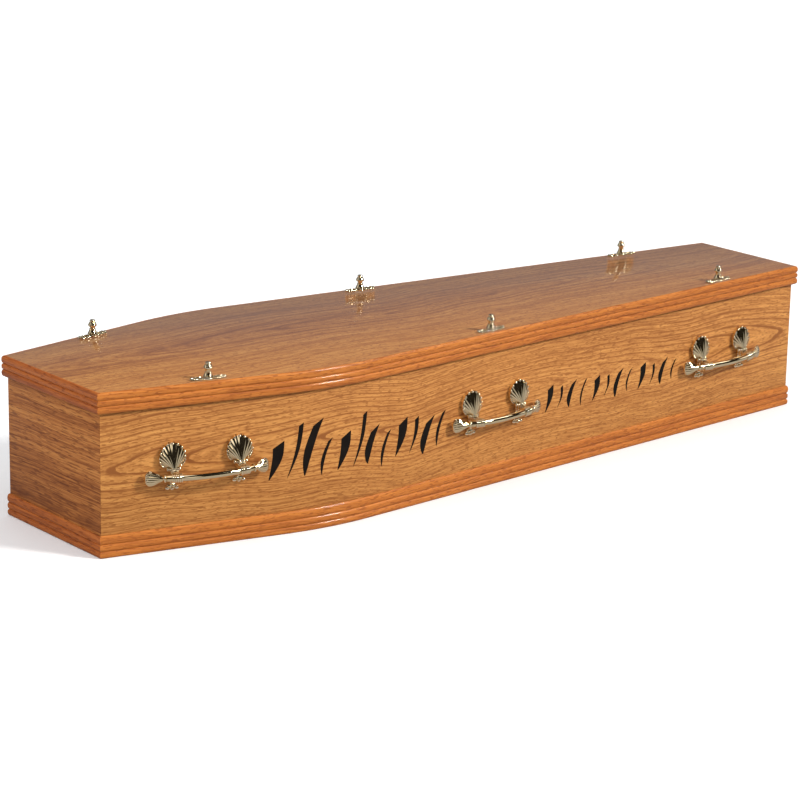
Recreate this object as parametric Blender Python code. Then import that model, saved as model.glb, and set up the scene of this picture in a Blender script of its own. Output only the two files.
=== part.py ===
"""Shouldered wooden coffin with a lift-off lid, six bar handles and six lid screws.

Metres, +Z up. X runs from the head end to the foot end and the part is symmetric about the XZ plane. The
origin is on the floor under the middle of the body. Plan offsets are measured outwards from the body's face.
"""
import math

import bmesh
import bpy
from mathutils import Matrix, Vector

# Body, in plan: the widths are those of the outer faces of the walls
BODY_LENGTH = 1.980
HEAD_WIDTH = 0.350
SHOULDER_WIDTH = 0.564
FOOT_WIDTH = 0.309
SHOULDER_FROM_HEAD = 0.493
SHOULDER_BEND_RADIUS = 0.720

# Boards
WALL_HEIGHT = 0.327
WALL_THICKNESS = 0.015
BASE_THICKNESS = 0.015
LID_THICKNESS = 0.018
LID_OVERHANG = 0.0035

# Reeded strips: the height of each reed from the lowest up, and how far the strips stand out
LID_REEDS = (0.0150, 0.0125, 0.0165)
LID_STRIP_THICKNESS = 0.0062
BASE_REEDS = (0.0140, 0.0145, 0.0185)
BASE_STRIP_THICKNESS = 0.0045
REED_DEPTH = 0.0028
TOP_REED_ROUNDING = 0.8  # share of a strip's thickness that its top edge is rounded over

# Handles: places along the walls' outer faces, and the height of the bar
HEAD_HANDLE_FROM_HEAD = 0.224
MIDDLE_HANDLE_FROM_SHOULDER = 0.4755
FOOT_HANDLE_FROM_FOOT = 0.2625
BAR_HEIGHT = 0.1585
BAR_RADIUS = 0.0070
BAR_STAND_OFF = 0.0385
BRACKET_SPREAD = 0.147
COLLAR_FROM_SLEEVE = 0.0135
COLLAR_LENGTH = 0.0040
COLLAR_RADIUS = 0.0088
FAN_NECK_RADIUS = 0.0058
FAN_LENGTH = 0.0370
FAN_HALF_HEIGHT = 0.0155
FAN_HALF_DEPTH = 0.0070
FAN_FLUTE = 0.20  # share of its radius that a fan's flutes sink
FAN_CLEARANCE = 0.0030

# Brackets: sleeve, arm, shell and drop; heights are measured up from the bar's axis
SLEEVE_LENGTH = 0.022
SLEEVE_WALL = 0.0028
SLEEVE_WAIST_WALL = 0.0020
ARM_WIDTH = 0.0186
ARM_TOP = 0.0165
ARM_BOTTOM = -0.0030
ARM_END_TOP = 0.0088
ARM_SHOULDER = 0.55  # share of the way out to the bar where the arm's top turns down
SHELL_WIDTH = 0.058
SHELL_HEIGHT = 0.0565
SHELL_WIDEST = 0.58  # share of the height, from the top, where the shell is widest
SHELL_ABOVE_BAR = 0.0125
SHELL_DEPTH = 0.0185
SHELL_RIM = 0.0080
SHELL_RAYS = 12
SHELL_SWING = math.radians(140)
SHELL_SCALLOP = 0.06  # share that the rim draws in between two ribs
SHELL_FLUTE = 0.15  # share of the depth that the hollow between two ribs sinks
DROP_WIDTH = 0.029
DROP_HEIGHT = 0.0157
DROP_BELOW_BAR = 0.0178
DROP_DEPTH = 0.0080
STEM_WIDTH = 0.0128
STEM_INTO_SHELL = 0.0087

# Lid screws: places of their centres in plan, measured along X and in from the body's face
SCREW_FROM_HEAD = 0.230
MIDDLE_SCREW_FROM_SHOULDER = 0.471
SCREW_FROM_FOOT = 0.263
SCREW_INSET = 0.0105
PLATE_LENGTH = 0.080
PLATE_WIDTH = 0.018
PLATE_THICKNESS = 0.0050
PLATE_CHAMFER = 0.0014
SKIRT_RADIUS = 0.0105
STEM_RADIUS = 0.0055
KNOB_RADIUS = 0.0092
BUTTON_RADIUS = 0.0060
THUMBSCREW_HEIGHT = 0.0310

# Space left between pieces that touch
GAP = 0.0003

# Facets
BEND_STEPS = 5
REED_STEPS = 2
BAR_SIDES = 10
ARM_SIDES = 6
SCREW_SIDES = 10

LID_BOTTOM = WALL_HEIGHT + GAP
LID_TOP = LID_BOTTOM + LID_THICKNESS
LID_STRIP_INNER = LID_OVERHANG + GAP
HEAD_X = -BODY_LENGTH / 2
FOOT_X = BODY_LENGTH / 2
SHOULDER_X = HEAD_X + SHOULDER_FROM_HEAD

# The bar bows until its fans stand FAN_CLEARANCE off the wall
FAN_START = BRACKET_SPREAD / 2 + SLEEVE_LENGTH / 2 + COLLAR_FROM_SLEEVE + COLLAR_LENGTH
BAR_HALF_LENGTH = FAN_START + FAN_LENGTH
BAR_BOW = BAR_STAND_OFF - FAN_CLEARANCE - FAN_HALF_DEPTH
BAR_BOW_RADIUS = BAR_HALF_LENGTH ** 2 / (2 * BAR_BOW)


def clear_scene():
    for item in list(bpy.data.objects):
        bpy.data.objects.remove(item, do_unlink=True)


def principled(name, colour, roughness, metallic=0.0):
    material = bpy.data.materials.new(name)
    material.use_nodes = True
    shader = material.node_tree.nodes["Principled BSDF"]
    shader.inputs["Base Color"].default_value = (*colour, 1.0)
    shader.inputs["Roughness"].default_value = roughness
    shader.inputs["Metallic"].default_value = metallic
    return material


def add_object(name, mesh, material, matrix=None):
    piece = bpy.data.objects.new(name, mesh)
    if not mesh.materials:
        mesh.materials.append(material)
    if matrix is not None:
        piece.matrix_world = matrix
    bpy.context.collection.objects.link(piece)
    return piece


def finish_mesh(name, bm, smooth_angle=None):
    """Turn the bmesh into a mesh whose faces point outwards."""
    bmesh.ops.recalc_face_normals(bm, faces=bm.faces)
    mesh = bpy.data.meshes.new(name)
    bm.to_mesh(mesh)
    bm.free()
    if smooth_angle is not None:
        mesh.shade_smooth()
        mesh.set_sharp_from_angle(angle=smooth_angle)
    return mesh


def loft(name, sections, smooth_angle=None):
    """A closed solid through sections that have as many points each, in order."""
    bm = bmesh.new()
    rings = [[bm.verts.new(point) for point in section] for section in sections]
    count = len(rings[0])
    for ring, following in zip(rings, rings[1:]):
        for i in range(count):
            j = (i + 1) % count
            bm.faces.new((ring[i], ring[j], following[j], following[i]))
    bm.faces.new(rings[0])
    bm.faces.new(rings[-1])
    return finish_mesh(name, bm, smooth_angle)


def slab(name, outline, bottom, top):
    """A flat board: a plan outline extruded from bottom to top."""
    bm = bmesh.new()
    face = bm.faces.new([bm.verts.new((x, y, bottom)) for x, y in outline])
    grown = bmesh.ops.extrude_face_region(bm, geom=[face])
    raised = [item for item in grown["geom"] if isinstance(item, bmesh.types.BMVert)]
    bmesh.ops.translate(bm, verts=raised, vec=(0, 0, top - bottom))
    return finish_mesh(name, bm)


# Plan of the body


def wall_line(start, end):
    """Direction and outward normal of one straight stretch of the far wall."""
    along = (end - start).normalized()
    return along, Vector((-along.y, along.x))


HEAD_CORNER = Vector((HEAD_X, HEAD_WIDTH / 2))
SHOULDER = Vector((SHOULDER_X, SHOULDER_WIDTH / 2))
FOOT_CORNER = Vector((FOOT_X, FOOT_WIDTH / 2))
HEAD_ALONG, HEAD_NORMAL = wall_line(HEAD_CORNER, SHOULDER)
FOOT_ALONG, FOOT_NORMAL = wall_line(SHOULDER, FOOT_CORNER)


def side_path(offset):
    """The far side's outline in plan from head to foot, at an outward offset from the body's face.

    Two straight stretches meet in an arc at the shoulder. Both ends stop where the end wall's face, at the
    same offset, crosses them, so strips and boards with these ends are mitred.
    """
    turn = HEAD_ALONG.angle(FOOT_ALONG)
    tangent = SHOULDER_BEND_RADIUS * math.tan(turn / 2)
    centre = SHOULDER - HEAD_ALONG * tangent - HEAD_NORMAL * SHOULDER_BEND_RADIUS
    radius = SHOULDER_BEND_RADIUS + offset
    start_angle = math.atan2(HEAD_NORMAL.y, HEAD_NORMAL.x)
    head_x = HEAD_X - offset
    foot_x = FOOT_X + offset
    head_point = HEAD_CORNER + HEAD_NORMAL * offset
    foot_point = FOOT_CORNER + FOOT_NORMAL * offset
    head_rise = (head_x - head_point.x) * HEAD_ALONG.y / HEAD_ALONG.x
    foot_rise = (foot_x - foot_point.x) * FOOT_ALONG.y / FOOT_ALONG.x
    points = [Vector((head_x, head_point.y + head_rise))]
    for step in range(BEND_STEPS + 1):
        angle = start_angle - turn * step / BEND_STEPS
        points.append(centre + radius * Vector((math.cos(angle), math.sin(angle))))
    points.append(Vector((foot_x, foot_point.y + foot_rise)))
    return points


def plan_outline(offset):
    """The whole outline in plan at an outward offset."""
    far = [(point.x, point.y) for point in side_path(offset)]
    near = [(x, -y) for x, y in reversed(far)]
    return far + near


def wall_profile():
    return [(-WALL_THICKNESS, 0), (0, 0), (0, WALL_HEIGHT), (-WALL_THICKNESS, WALL_HEIGHT)]


def reeded_profile(inner, thickness, bottom, reeds):
    """Section of a reeded strip: half-round reeds, the top one rounded right over to the strip's back."""
    outer = inner + thickness
    depths = [REED_DEPTH] * len(reeds) + [thickness * TOP_REED_ROUNDING]
    points = [(inner, bottom), (outer - REED_DEPTH, bottom)]
    height = bottom
    for index, reed in enumerate(reeds):
        middle = height + reed / 2
        for step in range(1, REED_STEPS + 1):
            angle = math.pi / 2 * (1 - step / REED_STEPS)
            depth = depths[index]
            points.append((outer - depth * (1 - math.cos(angle)), middle - reed / 2 * math.sin(angle)))
        for step in range(1, REED_STEPS + 1):
            angle = math.pi / 2 * step / REED_STEPS
            depth = depths[index + 1]
            points.append((outer - depth * (1 - math.cos(angle)), middle + reed / 2 * math.sin(angle)))
        height += reed
    points.append((inner, height))
    return points


def long_piece(name, profile, side):
    """A wall or strip that follows one long side; side is 1 for the far one and -1 for the near one."""
    paths = [side_path(offset) for offset, _ in profile]
    sections = []
    for station in range(len(paths[0])):
        section = []
        for path, (_, height) in zip(paths, profile):
            section.append((path[station].x, side * path[station].y, height))
        sections.append(section)
    return loft(name, sections)


def end_piece(name, profile, at_foot):
    """A wall or strip across the head or foot end, mitred to the long ones with a gap."""
    station = -1 if at_foot else 0
    corners = [(side_path(offset)[station], height) for offset, height in profile]
    sections = []
    for side in (-1, 1):
        sections.append([(point.x, side * (point.y - GAP), height) for point, height in corners])
    return loft(name, sections)


def build_boards_and_strips(board, strip):
    inner_face = -WALL_THICKNESS - GAP
    add_object("base_board", slab("base_board", plan_outline(inner_face), 0, BASE_THICKNESS), board)
    add_object("lid_board", slab("lid_board", plan_outline(LID_OVERHANG), LID_BOTTOM, LID_TOP), board)
    lid_strip_bottom = LID_TOP - sum(LID_REEDS)
    kinds = (
        ("board", wall_profile(), board),
        ("base_strip", reeded_profile(GAP, BASE_STRIP_THICKNESS, 0, BASE_REEDS), strip),
        ("lid_strip", reeded_profile(LID_STRIP_INNER, LID_STRIP_THICKNESS, lid_strip_bottom, LID_REEDS), strip),
    )
    for kind, profile, material in kinds:
        for side_name, side in (("near", -1), ("far", 1)):
            name = f"{side_name}_side_{kind}" if kind == "board" else f"{side_name}_{kind}"
            add_object(name, long_piece(name, profile, side), material)
        for end_name, at_foot in (("head", False), ("foot", True)):
            name = f"{end_name}_{kind}"
            add_object(name, end_piece(name, profile, at_foot), material)


# Handles, in their own frame: X along the wall, -Y out from its face, Z up from the bar's axis


def bar_point(along):
    """A point of the bowed bar's centre line and its direction, at a length along it from the middle."""
    angle = along / BAR_BOW_RADIUS
    out = BAR_STAND_OFF - BAR_BOW_RADIUS * (1 - math.cos(angle))
    point = Vector((BAR_BOW_RADIUS * math.sin(angle), -out, 0))
    return point, Vector((math.cos(angle), math.sin(angle), 0))


def bar_section(along, half_height, half_depth, flute=0.0):
    """An oval section of the bar; flute sinks every second point of it."""
    point, direction = bar_point(along)
    across = Vector((0, 0, 1)).cross(direction)
    section = []
    for side in range(BAR_SIDES):
        angle = 2 * math.pi * side / BAR_SIDES
        share = 1 - flute * (side % 2)
        offset = across * math.cos(angle) * half_depth + Vector((0, 0, math.sin(angle) * half_height))
        section.append(point + offset * share)
    return section


def bar_stations():
    """Lengths along half the bar with the half height, half depth and flute there."""
    plain = BAR_RADIUS
    collar = COLLAR_RADIUS
    neck = FAN_NECK_RADIUS
    height = FAN_HALF_HEIGHT
    depth = FAN_HALF_DEPTH
    sleeve_end = (BRACKET_SPREAD + SLEEVE_LENGTH) / 2
    return [
        (0.0, plain, plain, 0.0),
        (BRACKET_SPREAD / 2 - SLEEVE_LENGTH, plain, plain, 0.0),
        (sleeve_end + COLLAR_FROM_SLEEVE / 2, plain, plain, 0.0),
        (sleeve_end + COLLAR_FROM_SLEEVE, collar, collar, 0.0),
        (FAN_START, neck, neck, 0.0),
        (FAN_START + FAN_LENGTH * 0.25, height * 0.72, depth * 0.82, FAN_FLUTE * 0.6),
        (FAN_START + FAN_LENGTH * 0.64, height, depth, FAN_FLUTE),
        (BAR_HALF_LENGTH, height * 0.45, depth * 0.45, 0.0),
    ]


def bar_mesh():
    half = bar_stations()
    mirrored = [(-along, height, depth, flute) for along, height, depth, flute in reversed(half[1:])]
    sections = [bar_section(*station) for station in mirrored + half]
    return loft("bar", sections, math.radians(40))


def shell_mesh(centre_x):
    """The bracket's domed and fluted shell: ribs fan out from its foot to a scalloped rim near the wall."""
    half_width = SHELL_WIDTH / 2
    crown = SHELL_HEIGHT * SHELL_WIDEST
    middle = SHELL_ABOVE_BAR + SHELL_HEIGHT - crown
    foot = Vector((0, 0, SHELL_ABOVE_BAR))
    bm = bmesh.new()

    def vertex(x, z, out):
        return bm.verts.new((centre_x + x, -out, z))

    pole = vertex(foot.x, foot.z, SHELL_DEPTH * 0.8)
    grid = []
    for ray in range(SHELL_RAYS + 1):
        hollow = ray % 2
        swing = SHELL_SWING * (2 * ray / SHELL_RAYS - 1)
        rise = crown if math.cos(swing) > 0 else SHELL_HEIGHT - crown
        rim = Vector((half_width * math.sin(swing), 0, rise * math.cos(swing))) * (1 - SHELL_SCALLOP * hollow)
        rim.z += middle
        dome = SHELL_DEPTH * (1 - SHELL_FLUTE * hollow)
        line = []
        for share, depth in ((0.42, dome), (0.80, dome * 0.78), (1.0, SHELL_RIM)):
            spot = foot.lerp(rim, share)
            line.append(vertex(spot.x, spot.z, depth))
        grid.append(line)
    for line, following in zip(grid, grid[1:]):
        bm.faces.new((pole, line[0], following[0]))
        bm.faces.new((line[0], line[1], following[1], following[0]))
        bm.faces.new((line[1], line[2], following[2], following[1]))
    outline = [pole, *grid[0], *[line[2] for line in grid[1:-1]], *reversed(grid[-1])]
    back = [bm.verts.new((vert.co.x, -GAP, vert.co.z)) for vert in outline]
    for i in range(len(outline)):
        j = (i + 1) % len(outline)
        bm.faces.new((outline[i], outline[j], back[j], back[i]))
    bm.faces.new(back)
    return finish_mesh("shell", bm, math.radians(30))


def arm_mesh(sleeve_centre):
    """The solid arm from the wall out to the sleeve, whose top turns down to the bar."""
    reach = -sleeve_centre.y
    stations = ((GAP, ARM_TOP), (reach * ARM_SHOULDER, ARM_TOP), (reach, ARM_END_TOP))
    sections = []
    for out, top in stations:
        middle = (top + ARM_BOTTOM) / 2
        half_height = (top - ARM_BOTTOM) / 2
        section = []
        for side in range(ARM_SIDES):
            angle = 2 * math.pi * (side + 0.5) / ARM_SIDES
            x = sleeve_centre.x + ARM_WIDTH / math.sqrt(3) * math.cos(angle)
            section.append((x, -out, middle + half_height * math.sin(angle)))
        sections.append(section)
    return loft("arm", sections)


def drop_mesh(centre_x):
    """The stem behind the bar and the three-lobed drop that ends it, lying on the wall."""
    half_width = DROP_WIDTH / 2
    top = -DROP_BELOW_BAR
    half = [
        (STEM_WIDTH / 2, SHELL_ABOVE_BAR + STEM_INTO_SHELL),
        (STEM_WIDTH / 2, top),
        (half_width, top - DROP_HEIGHT * 0.25),
        (half_width * 0.75, top - DROP_HEIGHT * 0.75),
        (half_width * 0.30, top - DROP_HEIGHT),
    ]
    outline = half + [(-x, z) for x, z in reversed(half)]
    sections = []
    for out, share in ((GAP, 1.0), (DROP_DEPTH * 0.45, 1.0), (DROP_DEPTH, 0.6)):
        section = []
        for x, z in outline:
            height = max(z, top) + min(z - top, 0) * share
            section.append((centre_x + x * share, -out, height))
        sections.append(section)
    return loft("drop", sections)


def sleeve_mesh(sleeve_along):
    """The waisted sleeve that goes round the bar, still solid."""
    bore = BAR_RADIUS + GAP
    radius = bore + SLEEVE_WALL
    waist = bore + SLEEVE_WAIST_WALL
    half = SLEEVE_LENGTH / 2
    stations = ((-half, radius), (-half * 0.6, waist), (half * 0.6, waist), (half, radius))
    sections = [bar_section(sleeve_along + along, size, size) for along, size in stations]
    return loft("sleeve", sections)


def bore_mesh(sign):
    """The space round the bar that is cut out of a sleeve."""
    size = BAR_RADIUS + GAP
    stations = [station[0] for station in bar_stations()[1:3]]
    return loft("bore", [bar_section(sign * along, size, size) for along in stations])


def joined(name, solids, cutter):
    """One mesh: the first solid united with the others and cut by the cutter."""
    pieces = [add_object(f"{name}_{mesh.name}", mesh, None) for mesh in (*solids, cutter)]
    body = pieces[0]
    for helper in pieces[1:]:
        helper.hide_render = True
        helper.display_type = "WIRE"
        boolean = body.modifiers.new(helper.name, "BOOLEAN")
        boolean.operation = "DIFFERENCE" if helper is pieces[-1] else "UNION"
        boolean.solver = "EXACT"
        boolean.object = helper
    bpy.context.view_layer.update()
    evaluated = body.evaluated_get(bpy.context.evaluated_depsgraph_get())
    mesh = bpy.data.meshes.new_from_object(evaluated)
    mesh.name = name
    mesh.materials.clear()
    for piece in pieces:
        bpy.data.objects.remove(piece, do_unlink=True)
    return mesh


def bracket_mesh(name, sign):
    """One cast bracket, left for sign -1 and right for sign 1."""
    along = sign * BRACKET_SPREAD / 2
    sleeve_centre, _ = bar_point(along)
    solids = [
        shell_mesh(sleeve_centre.x),
        arm_mesh(sleeve_centre),
        drop_mesh(sleeve_centre.x),
        sleeve_mesh(along),
    ]
    return joined(name, solids, bore_mesh(sign))


def handle_places():
    """Name, plan point on the far wall's face and that wall's direction, for the three handles of a side."""
    return (
        ("head", HEAD_CORNER + HEAD_ALONG * HEAD_HANDLE_FROM_HEAD, HEAD_ALONG),
        ("middle", SHOULDER + FOOT_ALONG * MIDDLE_HANDLE_FROM_SHOULDER, FOOT_ALONG),
        ("foot", FOOT_CORNER - FOOT_ALONG * FOOT_HANDLE_FROM_FOOT, FOOT_ALONG),
    )


def build_handles(metal):
    meshes = (
        ("bar", bar_mesh()),
        ("left_bracket", bracket_mesh("left_bracket", -1)),
        ("right_bracket", bracket_mesh("right_bracket", 1)),
    )
    for place, point, along in handle_places():
        slope = math.atan2(along.y, along.x)
        for side_name, side in (("near", -1), ("far", 1)):
            turn = -slope if side < 0 else math.pi + slope
            spot = Matrix.Translation((point.x, side * point.y, BAR_HEIGHT))
            matrix = spot @ Matrix.Rotation(turn, 4, "Z")
            for piece, mesh in meshes:
                add_object(f"{side_name}_{place}_handle_{piece}", mesh, metal, matrix)


# Lid screws, in their own frame: X along the lid's edge, Z up from the lid's top face


def plate_mesh():
    """The plate under a thumbscrew: waisted wings that end in three lobes, chamfered on top."""
    length = PLATE_LENGTH / 2
    width = PLATE_WIDTH / 2
    quarter = [(0.0, 1.0), (0.24, 0.90), (0.38, 0.40), (0.58, 0.75), (0.76, 0.40), (0.88, 0.85)]
    right = [(length * x, width * y) for x, y in quarter] + [(length, 0.0)]
    lower = [(x, -y) for x, y in reversed(right[1:-1])]
    half = right + lower
    outline = half + [(-x, -y) for x, y in half]
    sections = []
    for height, chamfer in ((GAP, 0.0), (PLATE_THICKNESS * 0.55, 0.0), (PLATE_THICKNESS, PLATE_CHAMFER)):
        section = []
        for x, y in outline:
            reach = max(math.hypot(x, y), width)
            section.append((x * (1 - chamfer / reach), y * (1 - chamfer / width), height))
        sections.append(section)
    return loft("plate", sections)


def thumbscrew_mesh():
    """A turned thumbscrew: a flared skirt, a waist, a round knob with a rim and a flat button."""
    base = PLATE_THICKNESS + GAP
    profile = [
        (SKIRT_RADIUS, 0.0),
        (STEM_RADIUS * 1.25, 0.30),
        (STEM_RADIUS, 0.50),
        (KNOB_RADIUS * 0.94, 0.56),
        (KNOB_RADIUS, 0.65),
        (KNOB_RADIUS * 0.72, 0.82),
        (BUTTON_RADIUS * 0.9, 0.86),
        (BUTTON_RADIUS, 0.91),
        (BUTTON_RADIUS * 0.80, 1.0),
    ]
    turns = [2 * math.pi * side / SCREW_SIDES for side in range(SCREW_SIDES)]
    sections = []
    for radius, share in profile:
        height = base + THUMBSCREW_HEIGHT * share
        sections.append([(radius * math.cos(turn), radius * math.sin(turn), height) for turn in turns])
    return loft("thumbscrew", sections, math.radians(50))


def screw_places():
    """Name, plan point of the screw and the direction of the wall beside it, for the three of the far side."""
    places = []
    spots = (
        ("head", HEAD_X + SCREW_FROM_HEAD),
        ("middle", SHOULDER_X + MIDDLE_SCREW_FROM_SHOULDER),
        ("foot", FOOT_X - SCREW_FROM_FOOT),
    )
    for place, x in spots:
        on_head = x < SHOULDER_X
        along = HEAD_ALONG if on_head else FOOT_ALONG
        normal = HEAD_NORMAL if on_head else FOOT_NORMAL
        start = HEAD_CORNER if on_head else SHOULDER
        face = start + along * (x - start.x) / along.x
        places.append((place, face - normal * SCREW_INSET, along))
    return places


def build_lid_screws(metal):
    meshes = (("plate", plate_mesh()), ("thumbscrew", thumbscrew_mesh()))
    for place, point, along in screw_places():
        slope = math.atan2(along.y, along.x)
        for side_name, side in (("near", -1), ("far", 1)):
            spot = Matrix.Translation((point.x, side * point.y, LID_TOP))
            matrix = spot @ Matrix.Rotation(side * slope, 4, "Z")
            for piece, mesh in meshes:
                add_object(f"{side_name}_{place}_screw_{piece}", mesh, metal, matrix)


def main():
    clear_scene()
    board = principled("oak_board", (0.50, 0.26, 0.09), 0.28)
    strip = principled("oak_strip", (0.62, 0.25, 0.07), 0.20)
    metal = principled("brassed_metal", (0.78, 0.66, 0.42), 0.12, 1.0)
    build_boards_and_strips(board, strip)
    build_handles(metal)
    build_lid_screws(metal)


main()
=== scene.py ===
import math

import bpy
from mathutils import Matrix, Vector


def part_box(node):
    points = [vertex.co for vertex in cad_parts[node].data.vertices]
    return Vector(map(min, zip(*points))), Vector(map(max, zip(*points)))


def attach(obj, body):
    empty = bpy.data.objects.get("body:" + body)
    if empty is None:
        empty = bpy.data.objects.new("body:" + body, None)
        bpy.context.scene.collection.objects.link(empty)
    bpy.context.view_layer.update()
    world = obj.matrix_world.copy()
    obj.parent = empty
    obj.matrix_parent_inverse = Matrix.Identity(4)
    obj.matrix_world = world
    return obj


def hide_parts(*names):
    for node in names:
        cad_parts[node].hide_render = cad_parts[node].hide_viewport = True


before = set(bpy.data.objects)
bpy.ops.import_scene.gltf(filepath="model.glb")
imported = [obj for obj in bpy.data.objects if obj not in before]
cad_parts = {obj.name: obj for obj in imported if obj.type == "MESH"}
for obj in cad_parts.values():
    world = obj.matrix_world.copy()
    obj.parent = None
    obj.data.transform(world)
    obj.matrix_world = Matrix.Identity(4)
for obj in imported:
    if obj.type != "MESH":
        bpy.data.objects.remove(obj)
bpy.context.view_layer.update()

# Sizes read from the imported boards
GAP = 0.0003
body_low, body_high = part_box("far_side_board")
lid_low, lid_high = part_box("lid_board")
head_low, head_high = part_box("head_board")
foot_low, foot_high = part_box("foot_board")
HEAD_X = body_low.x
FOOT_X = body_high.x
WALL_HEIGHT = body_high.z
HEAD_WIDTH = 2 * (head_high.y + GAP)
FOOT_WIDTH = 2 * (foot_high.y + GAP)
LID_BOTTOM = lid_low.z
LID_TOP = lid_high.z
LID_OVERHANG = HEAD_X - lid_low.x
LID_STRIP_THICKNESS = lid_low.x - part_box("head_lid_strip")[0].x - GAP
BASE_STRIP_THICKNESS = HEAD_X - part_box("head_base_strip")[0].x - GAP

# Sizes that the boxes of the boards don't give
SHOULDER_WIDTH = 0.564
SHOULDER_X = HEAD_X + 0.493
SHOULDER_BEND_RADIUS = 0.720
WALL_THICKNESS = 0.015
LID_REEDS = (0.0150, 0.0125, 0.0165)
BASE_REEDS = (0.0140, 0.0145, 0.0185)
REED_DEPTH = 0.0036
TOP_REED_ROUNDING = 0.8
ARRIS = 0.0005
MITRE_GAP = 0.0001

# Handles
HEAD_HANDLE_FROM_HEAD = 0.224
MIDDLE_HANDLE_FROM_SHOULDER = 0.4755
FOOT_HANDLE_FROM_FOOT = 0.2625
BAR_HEIGHT = 0.1585
BAR_RADIUS = 0.0070
BAR_STAND_OFF = 0.0385
BRACKET_SPREAD = 0.147
COLLAR_FROM_SLEEVE = 0.0135
COLLAR_LENGTH = 0.0040
COLLAR_RADIUS = 0.0088
FAN_NECK_RADIUS = 0.0058
FAN_LENGTH = 0.0370
FAN_HALF_HEIGHT = 0.0155
FAN_HALF_DEPTH = 0.0070
FAN_CLEARANCE = 0.0030
SLEEVE_LENGTH = 0.022
SLEEVE_WALL = 0.0028
SLEEVE_BEAD_DEPTH = 0.0013
ARM_WIDTH = 0.0186
ARM_TOP = 0.0165
ARM_BOTTOM = -0.0030
ARM_END_TOP = 0.0088
ARM_SHOULDER = 0.55
ARM_RIBS = 14
ARM_ROLLS = 4
ARM_RIB = 0.15
SHELL_WIDTH = 0.058
SHELL_HEIGHT = 0.0565
SHELL_WIDEST = 0.58
SHELL_ABOVE_BAR = 0.0125
SHELL_DEPTH = 0.0200
SHELL_RIM = 0.0075
SHELL_SWING = math.radians(140)
SHELL_SCALLOP = 0.07
SHELL_FLUTE = 0.004
SHELL_SLOPE = 0.50
RIM_BEAD = 0.0031

# Lid screws
SCREW_FROM_HEAD = 0.230
MIDDLE_SCREW_FROM_SHOULDER = 0.471
SCREW_FROM_FOOT = 0.263
SCREW_INSET = 0.0105
PLATE_THICKNESS = 0.0050
SKIRT_RADIUS = 0.0105
STEM_RADIUS = 0.0055
KNOB_RADIUS = 0.0092
BUTTON_RADIUS = 0.0060
THUMBSCREW_HEIGHT = 0.0310

# Fineness of the meshes
BEND_STEPS = 28
REED_STEPS = 7
FAN_LOBES = 16
LOBE_STEPS = 6
SHELL_LOBES = 17
SHELL_LOBE_STEPS = 6
SHELL_ROWS = 26
TURNED_STEPS = 48
WELD = 1e-6

FAN_START = BRACKET_SPREAD / 2 + SLEEVE_LENGTH / 2 + COLLAR_FROM_SLEEVE + COLLAR_LENGTH
BAR_HALF_LENGTH = FAN_START + FAN_LENGTH
BAR_BOW_RADIUS = BAR_HALF_LENGTH ** 2 / (2 * (BAR_STAND_OFF - FAN_CLEARANCE - FAN_HALF_DEPTH))


# Work on one object at a time


def pick(piece):
    """Selects one object and makes it active."""
    bpy.ops.object.select_all(action="DESELECT")
    piece.select_set(True)
    bpy.context.view_layer.objects.active = piece


def start_editing(piece):
    pick(piece)
    bpy.ops.object.mode_set(mode="EDIT")
    bpy.ops.mesh.select_all(action="SELECT")


def stop_editing():
    bpy.ops.object.mode_set(mode="OBJECT")


def named(name):
    """Gives the primitive that was just added its name."""
    piece = bpy.context.object
    piece.name = name
    piece.data.name = name
    return piece


def modify(piece, kind, **settings):
    """Adds a modifier with its settings and applies it."""
    pick(piece)
    modifier = piece.modifiers.new(kind.lower(), kind)
    for name, value in settings.items():
        setattr(modifier, name, value)
    bpy.ops.object.modifier_apply(modifier=modifier.name)


def join(parts):
    """Makes the parts one mesh, each keeping its own skin, and leaves it active."""
    pick(parts[0])
    for part in parts:
        part.select_set(True)
    bpy.ops.object.join()
    return bpy.context.object


def combine(body, part, operation="UNION"):
    """Casts a part into a body, or cuts it out of it, and removes the part."""
    modify(body, "BOOLEAN", operation=operation, solver="EXACT", object=part)
    bpy.data.objects.remove(part, do_unlink=True)


def smooth(piece, degrees):
    pick(piece)
    bpy.ops.object.shade_smooth_by_angle(angle=math.radians(degrees))


def wrap(name, rings, closed=True):
    """A skin through rings of points: a grid laid round them, its seam welded and its ends filled."""
    count = len(rings[0])
    rows = len(rings) - 1
    columns = count if closed else count - 1
    bpy.ops.mesh.primitive_grid_add(x_subdivisions=rows, y_subdivisions=columns, size=1)
    piece = named(name)
    for vertex in piece.data.vertices:
        row = round((vertex.co.x + 0.5) * rows)
        place = round((vertex.co.y + 0.5) * columns) % count
        vertex.co = rings[row][place]
    start_editing(piece)
    bpy.ops.mesh.remove_doubles(threshold=WELD)
    if closed:
        bpy.ops.mesh.fill_holes(sides=0)
    bpy.ops.mesh.normals_make_consistent(inside=False)
    stop_editing()
    return piece


def ball(name, centre, radii, segments=20):
    """A round lump: a sphere stretched to its three radii."""
    bpy.ops.mesh.primitive_uv_sphere_add(segments=segments, ring_count=segments // 2, radius=1)
    piece = named(name)
    piece.data.transform(Matrix.Translation(centre) @ Matrix.Diagonal((*radii, 1)))
    return piece


def rebuilt(source, name, matrix):
    """A copy of a piece with its own mesh, moved to its place in the mesh itself."""
    copy = source.copy()
    copy.data = source.data.copy()
    copy.name = name
    copy.data.name = name
    bpy.context.collection.objects.link(copy)
    copy.data.transform(matrix)
    return copy


def dress(piece, material, slot, *nodes):
    """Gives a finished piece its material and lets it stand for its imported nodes."""
    piece.data.materials.clear()
    piece.data.materials.append(material)
    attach(piece, "root")
    if nodes:
        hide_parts(*nodes)


# Plan of the body


def wall_line(start, end):
    along = (end - start).normalized()
    return along, Vector((-along.y, along.x))


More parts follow.
